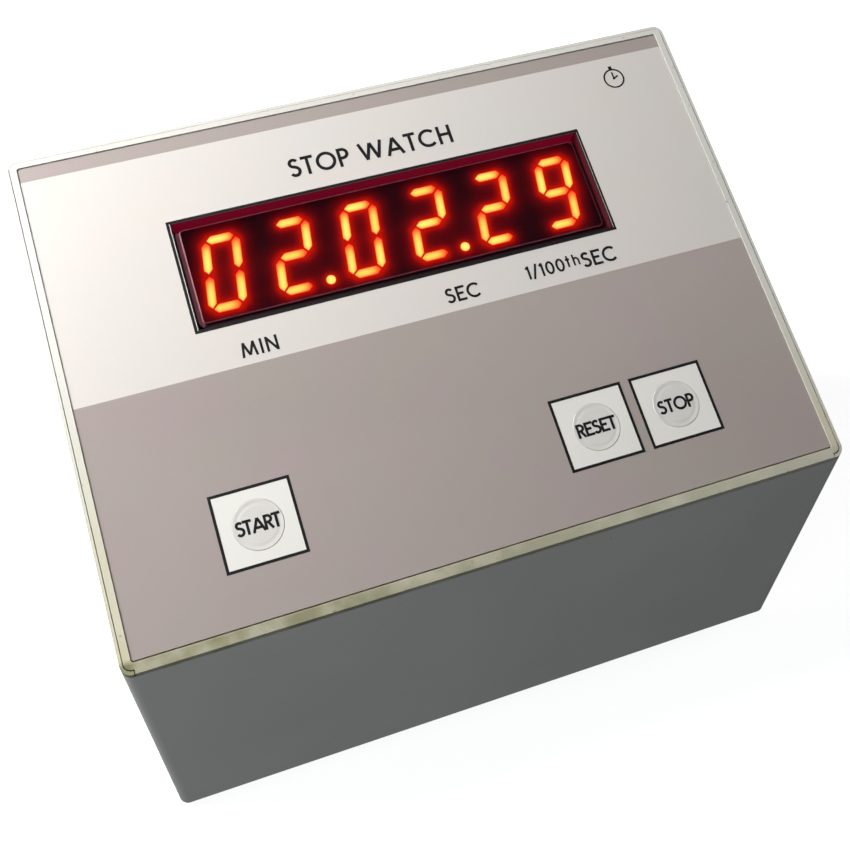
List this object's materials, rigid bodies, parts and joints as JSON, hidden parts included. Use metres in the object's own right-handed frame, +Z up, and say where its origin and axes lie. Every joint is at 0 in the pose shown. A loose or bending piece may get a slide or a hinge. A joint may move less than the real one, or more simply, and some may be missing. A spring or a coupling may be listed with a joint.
{
  "type": "digital bench stop watch",
  "caption": "Sloping desk console with a red six-digit LED time display and start, reset and stop keys. The power inlet and the rocker switch on its rear are assumed.",
  "frame": {"origin": "middle of the whole footprint, on the surface that the feet stand on", "axes": "+X to the user's right, -Y out of the front wall towards the user, +Z up"},
  "size_m": [0.1274, 0.0898, 0.0943],
  "materials": {
    "case_plastic": "moulded, soft satin, slightly yellowed",
    "label_film": "printed polycarbonate film, fine matt texture",
    "key_plastic": "satin",
    "plunger_plastic": "satin",
    "black_plastic": "satin",
    "rocker_plastic": "polished",
    "digit_plastic": "black face",
    "red_acrylic": "clear red, polished",
    "circuit_board": "green solder mask",
    "chip_epoxy": "moulded epoxy",
    "header_nylon": "natural nylon",
    "resistor_coat": "dipped lacquer",
    "capacitor_sleeve": "shrink sleeve",
    "cable_jacket": "soft PVC",
    "red_cable": "soft PVC",
    "plated_steel": "zinc plated",
    "bare_aluminium": "extruded",
    "foot_rubber": "matt"
  },
  "bodies": {
    "console": {"case_body": "case_plastic", "front_panel": "case_plastic", "base_plate": "case_plastic", "feet": "foot_rubber", "base_screws": "plated_steel", "panel_screws": "plated_steel", "overlay": "label_film", "window_mask": "black_plastic", "display_filter": "red_acrylic", "display_board": "circuit_board", "display_screws": "plated_steel", "display_header": "black_plastic", "key_board": "circuit_board", "key_screws": "plated_steel", "main_board": "circuit_board", "main_screws": "plated_steel", "chip_socket": "black_plastic", "controller_chip": "chip_epoxy", "crystal": "plated_steel", "driver_chips": "chip_epoxy", "digit_transistors": "chip_epoxy", "resistor_packs": "resistor_coat", "capacitors": "capacitor_sleeve", "regulator": "chip_epoxy", "heat_sink": "bare_aluminium", "regulator_screw": "plated_steel", "regulator_nut": "plated_steel", "board_headers": "header_nylon", "key_header": "header_nylon", "display_ribbon": "cable_jacket", "key_ribbon": "cable_jacket", "power_leads": "red_cable", "dc_jack": "black_plastic", "jack_nut": "plated_steel", "switch_housing": "black_plastic", "digit_1": "digit_plastic", "digit_2": "digit_plastic", "digit_3": "digit_plastic", "digit_4": "digit_plastic", "digit_5": "digit_plastic", "digit_6": "digit_plastic", "switch_start": "black_plastic", "switch_reset": "black_plastic", "switch_stop": "black_plastic"},
    "key_start": {"key_start": "key_plastic", "plunger_start": "plunger_plastic"},
    "key_reset": {"key_reset": "key_plastic", "plunger_reset": "plunger_plastic"},
    "key_stop": {"key_stop": "key_plastic", "plunger_stop": "plunger_plastic"},
    "rocker": {"power_rocker": "rocker_plastic"}
  },
  "joints": [
    {"name": "start_press", "type": "slide", "parent": "console", "child": "key_start", "axis": [0, 0.3746, -0.9272], "range_m": [0, 0.0004], "stiffness_N_per_m": 2500, "springref_m": -0.0002},
    {"name": "reset_press", "type": "slide", "parent": "console", "child": "key_reset", "axis": [0, 0.3746, -0.9272], "range_m": [0, 0.0004], "stiffness_N_per_m": 2500, "springref_m": -0.0002},
    {"name": "stop_press", "type": "slide", "parent": "console", "child": "key_stop", "axis": [0, 0.3746, -0.9272], "range_m": [0, 0.0004], "stiffness_N_per_m": 2500, "springref_m": -0.0002},
    {"name": "power_tip", "type": "hinge", "parent": "console", "child": "rocker", "pos_m": [0.034, 0.03943, 0.034], "axis": [1, 0, 0], "range_deg": [0, 22]}
  ]
}
